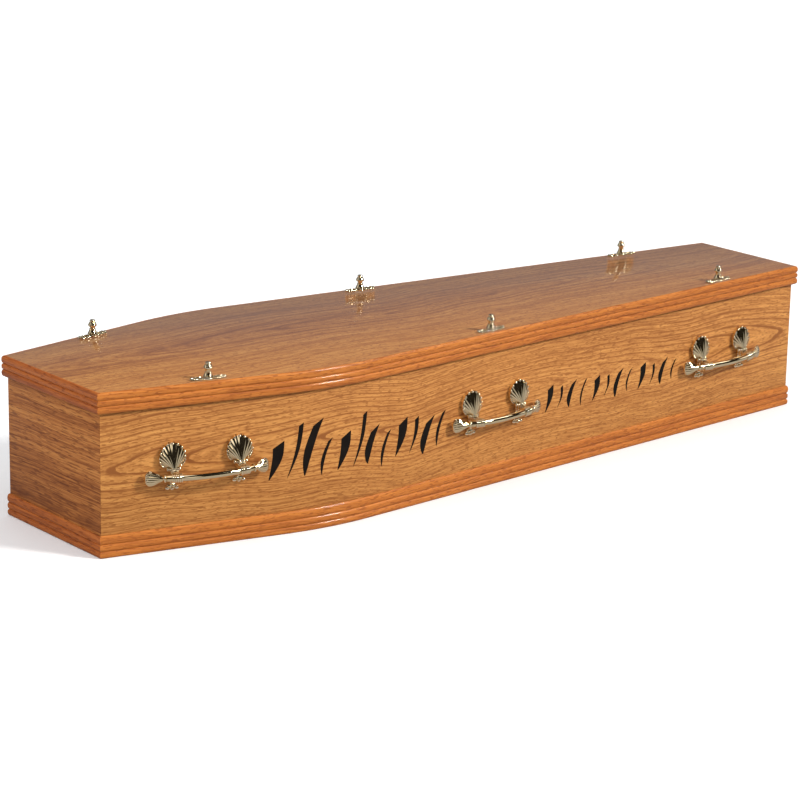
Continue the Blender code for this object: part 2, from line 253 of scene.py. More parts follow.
HEAD_CORNER = Vector((HEAD_X, HEAD_WIDTH / 2))
SHOULDER = Vector((SHOULDER_X, SHOULDER_WIDTH / 2))
FOOT_CORNER = Vector((FOOT_X, FOOT_WIDTH / 2))
HEAD_ALONG, HEAD_NORMAL = wall_line(HEAD_CORNER, SHOULDER)
FOOT_ALONG, FOOT_NORMAL = wall_line(SHOULDER, FOOT_CORNER)
TURN = HEAD_ALONG.angle(FOOT_ALONG)
BEND_TANGENT = SHOULDER_BEND_RADIUS * math.tan(TURN / 2)
BEND_CENTRE = SHOULDER - HEAD_ALONG * BEND_TANGENT - HEAD_NORMAL * SHOULDER_BEND_RADIUS


def side_path(offset):
    """The far side's outline in plan, mitred at both ends, at an outward offset from the body's face."""
    radius = SHOULDER_BEND_RADIUS + offset
    start_angle = math.atan2(HEAD_NORMAL.y, HEAD_NORMAL.x)
    head_x = HEAD_X - offset
    foot_x = FOOT_X + offset
    head_point = HEAD_CORNER + HEAD_NORMAL * offset
    foot_point = FOOT_CORNER + FOOT_NORMAL * offset
    head_rise = (head_x - head_point.x) * HEAD_ALONG.y / HEAD_ALONG.x
    foot_rise = (foot_x - foot_point.x) * FOOT_ALONG.y / FOOT_ALONG.x
    points = [Vector((head_x, head_point.y + head_rise))]
    for step in range(BEND_STEPS + 1):
        angle = start_angle - TURN * step / BEND_STEPS
        points.append(BEND_CENTRE + radius * Vector((math.cos(angle), math.sin(angle))))
    points.append(Vector((foot_x, foot_point.y + foot_rise)))
    return points


def near_face(x, height, offset):
    """A point of the near side at an x and a height, at an outward offset from its face."""
    start = BEND_CENTRE.x + SHOULDER_BEND_RADIUS * HEAD_NORMAL.x
    end = BEND_CENTRE.x + SHOULDER_BEND_RADIUS * FOOT_NORMAL.x
    if x < start:
        normal = HEAD_NORMAL
        plan = HEAD_CORNER + HEAD_ALONG * (x - HEAD_CORNER.x) / HEAD_ALONG.x
    elif x > end:
        normal = FOOT_NORMAL
        plan = FOOT_CORNER + FOOT_ALONG * (x - FOOT_CORNER.x) / FOOT_ALONG.x
    else:
        sine = (x - BEND_CENTRE.x) / SHOULDER_BEND_RADIUS
        normal = Vector((sine, math.sqrt(1 - sine * sine)))
        plan = BEND_CENTRE + normal * SHOULDER_BEND_RADIUS
    plan = plan + normal * offset
    return Vector((plan.x, -plan.y, height))


# Boards and strips


def wall_profile():
    return [(-WALL_THICKNESS, 0), (0, 0), (0, WALL_HEIGHT), (-WALL_THICKNESS, WALL_HEIGHT)]


def reeded_profile(inner, thickness, bottom, reeds):
    """Section of a reeded strip: half-round reeds, the top one rounded right over to the strip's back."""
    outer = inner + thickness
    depths = [REED_DEPTH] * len(reeds) + [thickness * TOP_REED_ROUNDING]
    points = [(inner, bottom), (outer - REED_DEPTH, bottom)]
    height = bottom
    for index, reed in enumerate(reeds):
        middle = height + reed / 2
        for step in range(1 - REED_STEPS, REED_STEPS + 1):
            angle = math.pi / 2 * step / REED_STEPS
            depth = depths[index if step < 0 else index + 1]
            points.append((outer - depth * (1 - math.cos(angle)), middle + reed / 2 * math.sin(angle)))
        height += reed
    points.append((inner, height))
    return points


def long_piece(name, profile, side):
    """A board or strip bent along one long side; side is 1 for the far one and -1 for the near one."""
    paths = [side_path(offset) for offset, _ in profile]
    rings = []
    for station in range(len(paths[0])):
        ring = []
        for path, (_, height) in zip(paths, profile):
            ring.append((path[station].x, side * path[station].y, height))
        rings.append(ring)
    return wrap(name, rings)


def end_piece(name, profile, at_foot):
    """A board or strip across the head or foot end, mitred to the long ones."""
    station = -1 if at_foot else 0
    corners = [(side_path(offset)[station], height) for offset, height in profile]
    rings = []
    for side in (-1, 1):
        rings.append([(point.x, side * (point.y - MITRE_GAP), height) for point, height in corners])
    return wrap(name, rings)


def ease_edges(piece):
    """Takes the sharpness off a board's edges."""
    modify(piece, "BEVEL", width=ARRIS, segments=2, limit_method="ANGLE", angle_limit=math.radians(30))
    smooth(piece, 30)


def build_walls(side_oak, end_oak):
    for side_name, side in (("near", -1), ("far", 1)):
        board = long_piece(f"{side_name}_side_oak", wall_profile(), side)
        ease_edges(board)
        dress(board, side_oak, "oak_board", f"{side_name}_side_board")
    for end_name, at_foot in (("head", False), ("foot", True)):
        board = end_piece(f"{end_name}_end_oak", wall_profile(), at_foot)
        ease_edges(board)
        dress(board, end_oak, "oak_board", f"{end_name}_board")


def build_lid(lid_oak):
    """The lid board: a filled circle is drawn out to the plan, extruded up and eased along its edges."""
    far = side_path(LID_OVERHANG)
    outline = [(point.x, point.y) for point in far] + [(point.x, -point.y) for point in reversed(far)]
    bpy.ops.mesh.primitive_circle_add(vertices=len(outline), radius=1, fill_type="NGON")
    lid = named("lid_oak")
    for vertex, (x, y) in zip(lid.data.vertices, outline):
        vertex.co = (x, y, LID_BOTTOM)
    start_editing(lid)
    bpy.ops.mesh.extrude_region_move(TRANSFORM_OT_translate={"value": (0, 0, LID_TOP - LID_BOTTOM)})
    bpy.ops.mesh.select_all(action="SELECT")
    bpy.ops.mesh.normals_make_consistent(inside=False)
    stop_editing()
    ease_edges(lid)
    dress(lid, lid_oak, "oak_board", "lid_board")


def build_strips(side_strip_oak, end_strip_oak):
    lid_bottom = LID_TOP - sum(LID_REEDS)
    kinds = (
        ("base", reeded_profile(GAP, BASE_STRIP_THICKNESS, 0, BASE_REEDS)),
        ("lid", reeded_profile(LID_OVERHANG + GAP, LID_STRIP_THICKNESS, lid_bottom, LID_REEDS)),
    )
    for kind, profile in kinds:
        for side_name, side in (("near", -1), ("far", 1)):
            strip = long_piece(f"{side_name}_{kind}_reeds", profile, side)
            smooth(strip, 35)
            dress(strip, side_strip_oak, "oak_strip", f"{side_name}_{kind}_strip")
        for end_name, at_foot in (("head", False), ("foot", True)):
            strip = end_piece(f"{end_name}_{kind}_reeds", profile, at_foot)
            smooth(strip, 35)
            dress(strip, end_strip_oak, "oak_strip", f"{end_name}_{kind}_strip")


# Handles, in their own frame: X along the wall, -Y out from its face, Z up from the bar's axis


def lobe(turns):
    """Height of a row of rounded lobes, 1 on a crest and 0 in the sharp valley at each whole turn."""
    across = 2 * (turns % 1) - 1
    low = math.sqrt(0.1)
    return (math.sqrt(1 - 0.9 * across * across) - low) / (1 - low)


def eased(table, place):
    """Reads a smooth curve through a short table of places and values."""
    for (start, before), (end, after) in zip(table, table[1:]):
        if place <= end:
            share = (place - start) / (end - start)
            share = share * share * (3 - 2 * share)
            return before + (after - before) * share
    return table[-1][1]


def bar_point(along):
    angle = along / BAR_BOW_RADIUS
    out = BAR_STAND_OFF - BAR_BOW_RADIUS * (1 - math.cos(angle))
    point = Vector((BAR_BOW_RADIUS * math.sin(angle), -out, 0))
    return point, Vector((math.cos(angle), math.sin(angle), 0))


def bar_ring(along, half_height, half_depth, sides, flute=0.0, lobes=0):
    """An oval ring round the bar, with rounded lobes between flutes where flute isn't zero."""
    point, direction = bar_point(along)
    across = Vector((0, 0, 1)).cross(direction)
    ring = []
    for side in range(sides):
        angle = 2 * math.pi * side / sides
        share = 1 - flute * (1 - lobe(lobes * side / sides)) if lobes else 1
        offset = across * math.cos(angle) * half_depth + Vector((0, 0, math.sin(angle) * half_height))
        ring.append(point + offset * share)
    return ring


FAN_FLUTES = ((0, 0.0), (0.15, 0.05), (0.60, 0.11), (0.90, 0.12), (1.0, 0.0))


def fan_swell(share):
    """How full a fan is, from 0 at its neck to 1 where it is widest, and rounded to nothing at its tip."""
    widest = 0.72
    if share < widest:
        return math.sin(math.pi / 2 * share / widest) ** 1.5
    return math.sqrt(max(0, 1 - ((share - widest) / (1 - widest)) ** 2))


def half_bar_stations():
    """Lengths along half the bar with the half height, half depth and flute there."""
    sleeve_end = (BRACKET_SPREAD + SLEEVE_LENGTH) / 2
    collar = sleeve_end + COLLAR_FROM_SLEEVE
    shaft_steps = 22
    stations = []
    for step in range(shaft_steps + 1):
        stations.append(((collar - 0.0022) * step / shaft_steps, BAR_RADIUS, BAR_RADIUS, 0.0))
    for step in range(-4, 5):
        bulge = math.sqrt(1 - (step / 4.5) ** 2)
        radius = BAR_RADIUS + (COLLAR_RADIUS - BAR_RADIUS) * bulge
        stations.append((collar + 0.0020 * step / 4, radius, radius, 0.0))
    fan_steps = 26
    for step in range(fan_steps + 1):
        share = math.sin(math.pi / 2 * step / fan_steps)
        swell = fan_swell(share)
        low = FAN_NECK_RADIUS if share < 0.7 else 0.0
        height = low + (FAN_HALF_HEIGHT - low) * swell
        depth = low + (FAN_HALF_DEPTH - low) * swell
        stations.append((FAN_START + FAN_LENGTH * share, height, depth, eased(FAN_FLUTES, share)))
    return stations


def model_bar():
    half = half_bar_stations()
    mirrored = [(-along, height, depth, flute) for along, height, depth, flute in reversed(half[1:])]
    sides = FAN_LOBES * LOBE_STEPS
    rings = []
    for along, height, depth, flute in mirrored + half:
        rings.append(bar_ring(along, height, depth, sides, flute, FAN_LOBES))
    bar = wrap("bar_model", rings)
    smooth(bar, 38)
    return bar


def shell_spot(turn, share):
    """A point of the shell's front.

    Turn runs from -1 to 1 round the fan, and share from its foot to its rim.
    """
    swing = SHELL_SWING * (turn + 0.45 * math.sin(math.pi * turn) / math.pi)
    crest = lobe((turn + 1) / 2 * SHELL_LOBES)
    crown = SHELL_HEIGHT * SHELL_WIDEST
    rise = crown if math.cos(swing) > 0 else SHELL_HEIGHT - crown
    rim_share = 1 - SHELL_SCALLOP * (1 - crest)
    rim_x = SHELL_WIDTH / 2 * math.sin(swing) * rim_share
    rim_z = SHELL_HEIGHT - crown + rise * math.cos(swing) * rim_share
    low = SHELL_RIM / SHELL_DEPTH
    dome = 1 - SHELL_SLOPE * share - (1 - SHELL_SLOPE - low) * share ** 4
    side_fall = 1 - 0.35 * eased(((0, 0.0), (1.3, 0.0), (2.5, 1.0)), abs(swing))
    groove = 1 - SHELL_FLUTE * (1 - crest) * eased(((0, 0.0), (0.25, 0.7), (1, 1.0)), share)
    out = SHELL_DEPTH * dome * side_fall * groove
    return Vector((rim_x * share, -out, SHELL_ABOVE_BAR + rim_z * share))


def model_shell():
    """The fluted shell: a grid is domed over its front, and its edge is drawn back flat to the wall."""
    rays = SHELL_LOBES * SHELL_LOBE_STEPS
    rings = []
    for ray in range(rays + 1):
        turn = 2 * ray / rays - 1
        rings.append([shell_spot(turn, row / SHELL_ROWS) for row in range(SHELL_ROWS + 1)])
    shell = wrap("shell_model", rings, closed=False)
    start_editing(shell)
    bpy.ops.mesh.region_to_loop()
    bpy.ops.mesh.extrude_edges_move()
    bpy.ops.transform.resize(value=(1, 0, 1), center_override=(0, -GAP / 2, 0))
    bpy.ops.mesh.edge_face_add()
    bpy.ops.mesh.select_all(action="SELECT")
    bpy.ops.mesh.normals_make_consistent(inside=False)
    stop_editing()
    return shell


def model_rim_beads():
    """A bead at the end of each of the shell's lobes, all in one mesh."""
    beads = []
    for index in range(SHELL_LOBES):
        turn = 2 * (index + 0.5) / SHELL_LOBES - 1
        spot = shell_spot(turn, 0.95)
        spot.y = -SHELL_RIM - 0.0006
        size = RIM_BEAD * (1 - 0.30 * abs(turn))
        beads.append(ball(f"rim_bead_{index}", spot, (size, size, size), 14))
    return join(beads)


def model_arm(sleeve_out):
    """The ribbed arm, solid from the wall to the sleeve, its top falling away towards the bar."""
    sides = 84
    steps = 24
    rings = []
    for step in range(steps + 1):
        share = step / steps
        top = ARM_TOP + (ARM_END_TOP - ARM_TOP) * eased(((0, 0.0), (ARM_SHOULDER, 0.1), (1, 1.0)), share)
        middle = (top + ARM_BOTTOM) / 2
        tall = top - middle
        roll = 1 - ARM_RIB * (1 - lobe(ARM_ROLLS * share))
        ring = []
        for side in range(sides):
            angle = 2 * math.pi * side / sides
            across = math.copysign(abs(math.cos(angle)) ** 0.6, math.cos(angle))
            upward = math.copysign(abs(math.sin(angle)) ** 0.6, math.sin(angle))
            size = roll - ARM_RIB * (1 - lobe(ARM_RIBS * side / sides))
            x = ARM_WIDTH / 2 * across * size
            y = -GAP - (sleeve_out - GAP) * share
            ring.append(Vector((x, y, middle + tall * upward * size)))
        rings.append(ring)
    return wrap("arm_model", rings)


def model_sleeve(along):
    """The beaded sleeve round the bar, still solid."""
    beads = 6
    bead_steps = 6
    radius = BAR_RADIUS + GAP + SLEEVE_WALL
    steps = beads * bead_steps
    rings = []
    for step in range(steps + 1):
        size = radius - SLEEVE_BEAD_DEPTH * (1 - lobe(step / bead_steps))
        place = along + SLEEVE_LENGTH * (step / steps - 0.5)
        rings.append(bar_ring(place, size, size, 48))
    return wrap("sleeve_model", rings)


def model_bracket():
    """The right-hand cast bracket, its middle plane at x = 0 until it is placed."""
    along = BRACKET_SPREAD / 2
    centre, _ = bar_point(along)
    bracket = model_shell()
    combine(bracket, model_rim_beads())
    lumps = [
        ("left_scroll", (-0.0128, -0.0110, 0.0140), (0.0036, 0.0050, 0.0042)),
        ("right_scroll", (0.0128, -0.0110, 0.0140), (0.0036, 0.0050, 0.0042)),
        ("stem", (0, -0.0010, 0), (0.0064, 0.0070, 0.0250)),
        ("drop_body", (0, -0.0005, -0.0240), (0.0120, 0.0055, 0.0080)),
        ("left_drop", (-0.0100, -0.0012, -0.0268), (0.0060, 0.0070, 0.0050)),
        ("right_drop", (0.0100, -0.0012, -0.0268), (0.0060, 0.0070, 0.0050)),
        ("middle_drop", (0, -0.0010, -0.0290), (0.0052, 0.0068, 0.0045)),
        ("drop_ball", (0, -0.0065, -0.0268), (0.0032, 0.0032, 0.0032)),
    ]
    for name, place, radii in lumps:
        combine(bracket, ball(name, place, radii, 24))
    arm = model_arm(-centre.y)
    off_the_middle = (0.00017, 0, 0.00011)
    arm.data.transform(Matrix.Translation(off_the_middle))
    combine(bracket, arm)
    collar_pitch = 0.0046
    collar_out = 0.0171
    collar_height = 0.0154
    collar_bead = (0.0028, 0.0034, 0.0030)
    for index in range(-2, 3):
        sag = 0.0004 * index * index
        place = (collar_pitch * index + 0.0002, sag - collar_out, collar_height - sag)
        combine(bracket, ball("collar_bead", place, collar_bead, 18))
    bracket.data.transform(Matrix.Translation((centre.x, 0, 0)))
    combine(bracket, model_sleeve(along))
    bore_size = BAR_RADIUS + GAP / 2
    bore_steps = 12
    bore_rings = []
    for step in range(bore_steps + 1):
        place = along + SLEEVE_LENGTH * 1.3 * (step / bore_steps - 0.5)
        bore_rings.append(bar_ring(place, bore_size, bore_size, 48))
    combine(bracket, wrap("bore_model", bore_rings), "DIFFERENCE")
    start_editing(bracket)
    bpy.ops.mesh.bisect(plane_co=(0, -GAP, 0), plane_no=(0, 1, 0), use_fill=True, clear_outer=True)
    bpy.ops.mesh.select_all(action="SELECT")
    bpy.ops.mesh.remove_doubles(threshold=WELD)
    stop_editing()
    smooth(bracket, 35)
    return bracket


def handle_places():
    """Name, plan point on the far wall's face and the wall's direction, for a side's three handles."""
    return (
        ("head", HEAD_CORNER + HEAD_ALONG * HEAD_HANDLE_FROM_HEAD, HEAD_ALONG),
        ("middle", SHOULDER + FOOT_ALONG * MIDDLE_HANDLE_FROM_SHOULDER, FOOT_ALONG),
        ("foot", FOOT_CORNER - FOOT_ALONG * FOOT_HANDLE_FROM_FOOT, FOOT_ALONG),
    )


def build_handles(brass):
    bar = model_bar()
    right = model_bracket()
    left = rebuilt(right, "left_bracket_model", Matrix.Scale(-1, 4, (1, 0, 0)))
    left.data.flip_normals()
    models = (("bar", bar), ("left_bracket", left), ("right_bracket", right))
    for place, point, along in handle_places():
        slope = math.atan2(along.y, along.x)
        for side_name, side in (("near", -1), ("far", 1)):
            turn = -slope if side < 0 else math.pi + slope
            spot = Matrix.Translation((point.x, side * point.y, BAR_HEIGHT))
            matrix = spot @ Matrix.Rotation(turn, 4, "Z")
            for part, model in models:
                node = f"{side_name}_{place}_handle_{part}"
                dress(rebuilt(model, f"{node}_brass", matrix), brass, "brassed_metal", node)
    for _, model in models:
        bpy.data.objects.remove(model, do_unlink=True)


# Lid screws, in their own frame: X along the lid's edge, Z up from the lid's top face


def model_plate():
    """The plate: a disc under the thumbscrew, a leaf on each side and three small balls at each tip."""
    bpy.ops.mesh.primitive_cylinder_add(vertices=TURNED_STEPS, radius=0.0112, depth=0.0080)
    plate = named("plate_model")
    modify(plate, "BEVEL", width=0.0010, segments=3, limit_method="ANGLE", angle_limit=math.radians(40))
    lumps = [("spine", (0, 0, 0), (0.0365, 0.0034, 0.0040))]
    for side in (-1, 1):
        lumps.append(("leaf", (side * 0.0222, 0, 0), (0.0092, 0.0076, PLATE_THICKNESS + 0.0006)))
        lumps.append(("vein", (side * 0.0222, 0, 0.0046), (0.0085, 0.0014, 0.0022)))
        lumps.append(("inner_bead", (side * 0.0122, 0, 0), (0.0030, 0.0058, PLATE_THICKNESS)))
        lumps.append(("tip", (side * 0.0366, 0, 0.0016), (0.0034, 0.0034, 0.0046)))
        for edge in (-1, 1):
            lumps.append(("tip", (side * 0.0330, edge * 0.0048, 0.0012), (0.0032, 0.0036, 0.0042)))
            lumps.append(("leaf_bead", (side * 0.0270, edge * 0.0062, 0.0010), (0.0026, 0.0024, 0.0034)))
            lumps.append(("leaf_bead", (side * 0.0222, edge * 0.0072, 0.0010), (0.0026, 0.0024, 0.0034)))
            lumps.append(("leaf_bead", (side * 0.0174, edge * 0.0062, 0.0010), (0.0026, 0.0024, 0.0034)))
    for name, place, radii in lumps:
        combine(plate, ball(name, place, radii, 20))
    start_editing(plate)
    bpy.ops.mesh.bisect(plane_co=(0, 0, GAP), plane_no=(0, 0, -1), use_fill=True, clear_outer=True)
    bpy.ops.mesh.select_all(action="SELECT")
    bpy.ops.mesh.remove_doubles(threshold=WELD)
    stop_editing()
    smooth(plate, 35)
    return plate


def model_thumbscrew():
    """A turned thumbscrew: its profile, drawn with the points of a circle cut open, is spun round."""
    skirt = SKIRT_RADIUS
    stem = STEM_RADIUS
    knob = KNOB_RADIUS
    button = BUTTON_RADIUS
    profile = (
        (0, 0), (skirt, 0), (skirt, 0.030), (skirt * 0.97, 0.050), (skirt * 0.92, 0.054),
        (skirt * 0.88, 0.095), (skirt * 0.80, 0.155), (skirt * 0.70, 0.220), (skirt * 0.62, 0.285),
        (skirt * 0.60, 0.300), (skirt * 0.64, 0.315), (skirt * 0.65, 0.335), (skirt * 0.62, 0.355),
        (stem * 1.02, 0.370), (stem, 0.420), (stem, 0.470), (stem * 1.05, 0.490),
        (knob * 0.74, 0.505), (knob * 0.93, 0.535), (knob, 0.580), (knob, 0.625), (knob * 0.96, 0.670),
        (knob * 0.88, 0.700), (knob * 0.86, 0.740), (knob * 0.76, 0.785), (knob * 0.64, 0.820),
        (button * 0.90, 0.842), (button * 0.86, 0.858), (button * 0.97, 0.872), (button, 0.900),
        (button * 0.97, 0.945), (button * 0.82, 0.978), (button * 0.45, 0.996), (0, 1),
    )
    bpy.ops.mesh.primitive_circle_add(vertices=len(profile), radius=1, fill_type="NOTHING")
    screw = named("thumbscrew_model")
    for vertex, (radius, share) in zip(screw.data.vertices, profile):
        vertex.co = (radius, 0, PLATE_THICKNESS + GAP + THUMBSCREW_HEIGHT * share)
    last = len(profile) - 1
    start_editing(screw)
    bpy.ops.mesh.select_mode(type="EDGE")
    bpy.ops.mesh.select_all(action="DESELECT")
    stop_editing()
    for edge in screw.data.edges:
        edge.select = set(edge.vertices) == {0, last}
    bpy.ops.object.mode_set(mode="EDIT")
    bpy.ops.mesh.delete(type="EDGE")
    bpy.ops.mesh.select_mode(type="VERT")
    bpy.ops.mesh.select_all(action="SELECT")
    bpy.ops.mesh.spin(steps=TURNED_STEPS, angle=2 * math.pi, center=(0, 0, 0), axis=(0, 0, 1))
    bpy.ops.mesh.select_all(action="SELECT")
    bpy.ops.mesh.remove_doubles(threshold=WELD)
    bpy.ops.mesh.normals_make_consistent(inside=False)
    stop_editing()
    smooth(screw, 40)
    return screw


def screw_places():
    """Name, plan point and the direction of the wall beside it, for the far side's three screws."""
    places = []
    spots = (
        ("head", HEAD_X + SCREW_FROM_HEAD),
        ("middle", SHOULDER_X + MIDDLE_SCREW_FROM_SHOULDER),
        ("foot", FOOT_X - SCREW_FROM_FOOT),
    )
    for place, x in spots:
        on_head = x < SHOULDER_X
        along = HEAD_ALONG if on_head else FOOT_ALONG
        normal = HEAD_NORMAL if on_head else FOOT_NORMAL
        start = HEAD_CORNER if on_head else SHOULDER
        face = start + along * (x - start.x) / along.x
        places.append((place, face - normal * SCREW_INSET, along))
    return places


def build_lid_screws(brass):
    models = (("plate", model_plate()), ("thumbscrew", model_thumbscrew()))
    for place, point, along in screw_places():
        slope = math.atan2(along.y, along.x)
        for side_name, side in (("near", -1), ("far", 1)):
            spot = Matrix.Translation((point.x, side * point.y, LID_TOP))
            matrix = spot @ Matrix.Rotation(side * slope, 4, "Z")
            for part, model in models:
                node = f"{side_name}_{place}_screw_{part}"
                dress(rebuilt(model, f"{node}_brass", matrix), brass, "brassed_metal", node)
    for _, model in models:
        bpy.data.objects.remove(model, do_unlink=True)


# Painted strokes on the near side: leaning pen marks that spell nothing


STROKE_BACK = 0.00005
STROKE_FACE = 0.00022


def pen_stroke(name, foot_x, foot_z, height, half_width, lean, belly):
    """One flat pen mark, cut slanting at the top and drawn out to a point at the foot, on the bent side."""
    steps = 24
    rings = []
    for step in range(steps + 1):
        share = step / steps
        x = foot_x + lean * height * share + belly * math.sin(math.pi * share)
        z = foot_z + height * share
        half = half_width * (0.04 + 0.96 * math.sin(math.pi / 2 * min(1, share * 1.5)) ** 0.8)
        tilt = 0.6 * half
        rings.append([
            near_face(x - half, z - tilt, STROKE_BACK),
            near_face(x + half, z + tilt, STROKE_BACK),
            near_face(x + half, z + tilt, STROKE_FACE),
            near_face(x - half, z - tilt, STROKE_FACE),
        ])
    return wrap(name, rings)


def stroke_row(name, start_x, end_x, base_z, heights, broad, fine, black):
    """A row of pen marks, broad and fine by turns."""
    pitch = (end_x - start_x) / len(heights)
    lean = 0.28
    strokes = []
    for index, (height, rise) in enumerate(heights):
        half_width = broad if index % 2 == 0 else fine
        foot_x = start_x + pitch * (index + 0.3)
        bow = pitch * (0.16 if index % 4 < 2 else -0.16)
        foot_z = base_z + rise
        strokes.append(pen_stroke(f"stroke_{index}", foot_x, foot_z, height, half_width, lean, bow))
    join(strokes)
    row = named(name)
    dress(row, black, None)


def build_strokes(black):
    tall = 0.112
    low = 0.074
    first = [
        (low, 0), (tall, 0), (tall, 0), (low, -0.004), (low, 0), (tall, 0),
        (low, 0), (low, -0.014), (low, 0), (low, 0), (low, -0.010), (low, 0),
    ]
    second = [
        (0.056, 0), (0.048, 0.004), (0.056, 0), (0.060, -0.004), (0.052, 0), (0.048, 0.004),
        (0.060, -0.004), (0.050, 0.004), (0.056, 0), (0.048, 0.004), (0.056, 0), (0.046, 0.005),
    ]
    stroke_row("first_stroke_row", -0.645, -0.165, 0.119, first, 0.0125, 0.0055, black)
    stroke_row("second_stroke_row", 0.130, 0.590, 0.132, second, 0.0088, 0.0036, black)


# Materials


def new_material(name):
    material = bpy.data.materials.new(name)
    material.use_nodes = True
    return material, material.node_tree, material.node_tree.nodes["Principled BSDF"]


def node(tree, kind, inputs, **settings):
    """Adds a node; an input is a value or the socket that feeds it."""
    made = tree.nodes.new(kind)
    for name, value in settings.items():
        setattr(made, name, value)
    for name, value in inputs.items():
        if isinstance(value, bpy.types.NodeSocket):
            tree.links.new(value, made.inputs[name])
        else:
            made.inputs[name].default_value = value
    return made


def maths(tree, operation, first, second=0.0, third=0.0, clamp=False):
    values = {0: first, 1: second, 2: third}
    made = node(tree, "ShaderNodeMath", values, operation=operation, use_clamp=clamp)
    return made.outputs[0]


def grain(tree, place, stretch, detail=2.0, roughness=0.5):
    """Noise drawn out by a stretch along, into and across the board."""
    drawn = node(tree, "ShaderNodeVectorMath", {0: place, 1: stretch}, operation="MULTIPLY").outputs[0]
    values = {"Vector": drawn, "Scale": 1.0, "Detail": detail, "Roughness": roughness}
    return node(tree, "ShaderNodeTexNoise", values).outputs["Fac"]


def ramp(tree, value, stops):
    made = node(tree, "ShaderNodeValToRGB", {"Fac": value})
    elements = made.color_ramp.elements
    while len(elements) < len(stops):
        elements.new(1.0)
    for element, (position, colour) in zip(elements, stops):
        element.position = position
        element.color = (*colour, 1.0) if len(colour) == 3 else colour
    return made.outputs["Color"]


def oak(name, turn, shift, shortening, tones, figure, bands, gloss):
    """Lacquered oak: fine streaks and short pores along the board, and long rings about its middle."""
    material, tree, shader = new_material(name)
    place = node(tree, "ShaderNodeTexCoord", {}).outputs["Object"]
    values = {"Vector": place, "Rotation": turn, "Location": (shift, 0, 0)}
    turned = node(tree, "ShaderNodeMapping", values).outputs["Vector"]
    values = {0: turned, 1: (shortening, 1, 1)}
    board = node(tree, "ShaderNodeVectorMath", values, operation="MULTIPLY").outputs["Vector"]
    parts = node(tree, "ShaderNodeSeparateXYZ", {"Vector": board}).outputs

    middle, rings, strength = figure
    wander = maths(tree, "MULTIPLY_ADD", grain(tree, board, (2.0, 0.2, 0.4)), 0.12, -0.06 - middle)
    across = maths(tree, "ADD", parts["Z"], wander)
    along = maths(tree, "MULTIPLY_ADD", parts["X"], 0.060, -0.060 * shift * shortening)
    squared = maths(tree, "MULTIPLY_ADD", along, along, 0.00004)
    radius = maths(tree, "SQRT", maths(tree, "MULTIPLY_ADD", across, across, squared))
    uneven = maths(tree, "MULTIPLY", grain(tree, board, (1.6, 1.0, 26.0), 3.0), 1.0)
    ring = maths(tree, "FRACT", maths(tree, "MULTIPLY_ADD", radius, rings, uneven))
    white = (1.0, 1.0, 1.0)
    darkness = ((0.0, 0.80), (0.05, 1.0), (0.16, 0.35), (0.34, 0.0), (0.92, 0.10))
    line = ramp(tree, ring, tuple((position, (dark,) * 3) for position, dark in darkness))
    patchy = maths(tree, "MULTIPLY_ADD", grain(tree, board, (1.6, 0.3, 6.0), 2.0), 3.0, -0.8, clamp=True)
    fading = maths(tree, "MULTIPLY_ADD", radius, -6.0, 1.25, clamp=True)
    lined = maths(tree, "MULTIPLY", maths(tree, "MULTIPLY", line, patchy), fading)

    depth = maths(tree, "MULTIPLY_ADD", across, 3.0, parts["Y"])
    flow = node(tree, "ShaderNodeCombineXYZ", {"X": parts["X"], "Y": depth, "Z": radius}).outputs["Vector"]
    streak = grain(tree, flow, (3.0, 8.0, 190.0), 3.0, 0.75)
    fine = grain(tree, flow, (20.0, 20.0, 400.0), 3.0, 0.75)
    band = grain(tree, flow, (0.8, 0.8, 42.0), 3.0, 0.6)
    tone = grain(tree, board, (0.6, 0.5, 9.0), 2.0)
    shade = maths(tree, "MULTIPLY_ADD", lined, strength, -0.5 * (1.4 + 2.0 + bands + 0.7) + 0.36)
    for layer, weight in ((streak, 1.4), (fine, 2.0), (band, bands), (tone, 0.7)):
        shade = maths(tree, "MULTIPLY_ADD", layer, weight, shade)
    colour = ramp(tree, maths(tree, "ADD", shade, 0.0, clamp=True), tuple(zip((0.0, 0.45, 1.0), tones)))

    dashes = grain(tree, board, (75.0, 30.0, 380.0), 1.0)
    pores = ramp(tree, dashes, ((0.0, white), (0.36, white), (0.43, (0.0,) * 3)))
    values = {"Factor": maths(tree, "MULTIPLY", pores, 0.7), 6: colour, 7: (*tones[2], 1.0)}
    pored = node(tree, "ShaderNodeMix", values, data_type="RGBA")
    tree.links.new(pored.outputs[2], shader.inputs["Base Color"])

    roughness, coat, coat_roughness = gloss
    relief = maths(tree, "MULTIPLY_ADD", pores, -0.8, streak)
    bump = node(tree, "ShaderNodeBump", {"Height": relief, "Strength": 0.2, "Distance": 0.0002})
    tree.links.new(bump.outputs["Normal"], shader.inputs["Normal"])
    tree.links.new(maths(tree, "MULTIPLY_ADD", streak, 0.16, roughness - 0.08), shader.inputs["Roughness"])
    shader.inputs["Specular IOR Level"].default_value = 0.15
    shader.inputs["Coat Weight"].default_value = coat
    shader.inputs["Coat Roughness"].default_value = coat_roughness
    return material


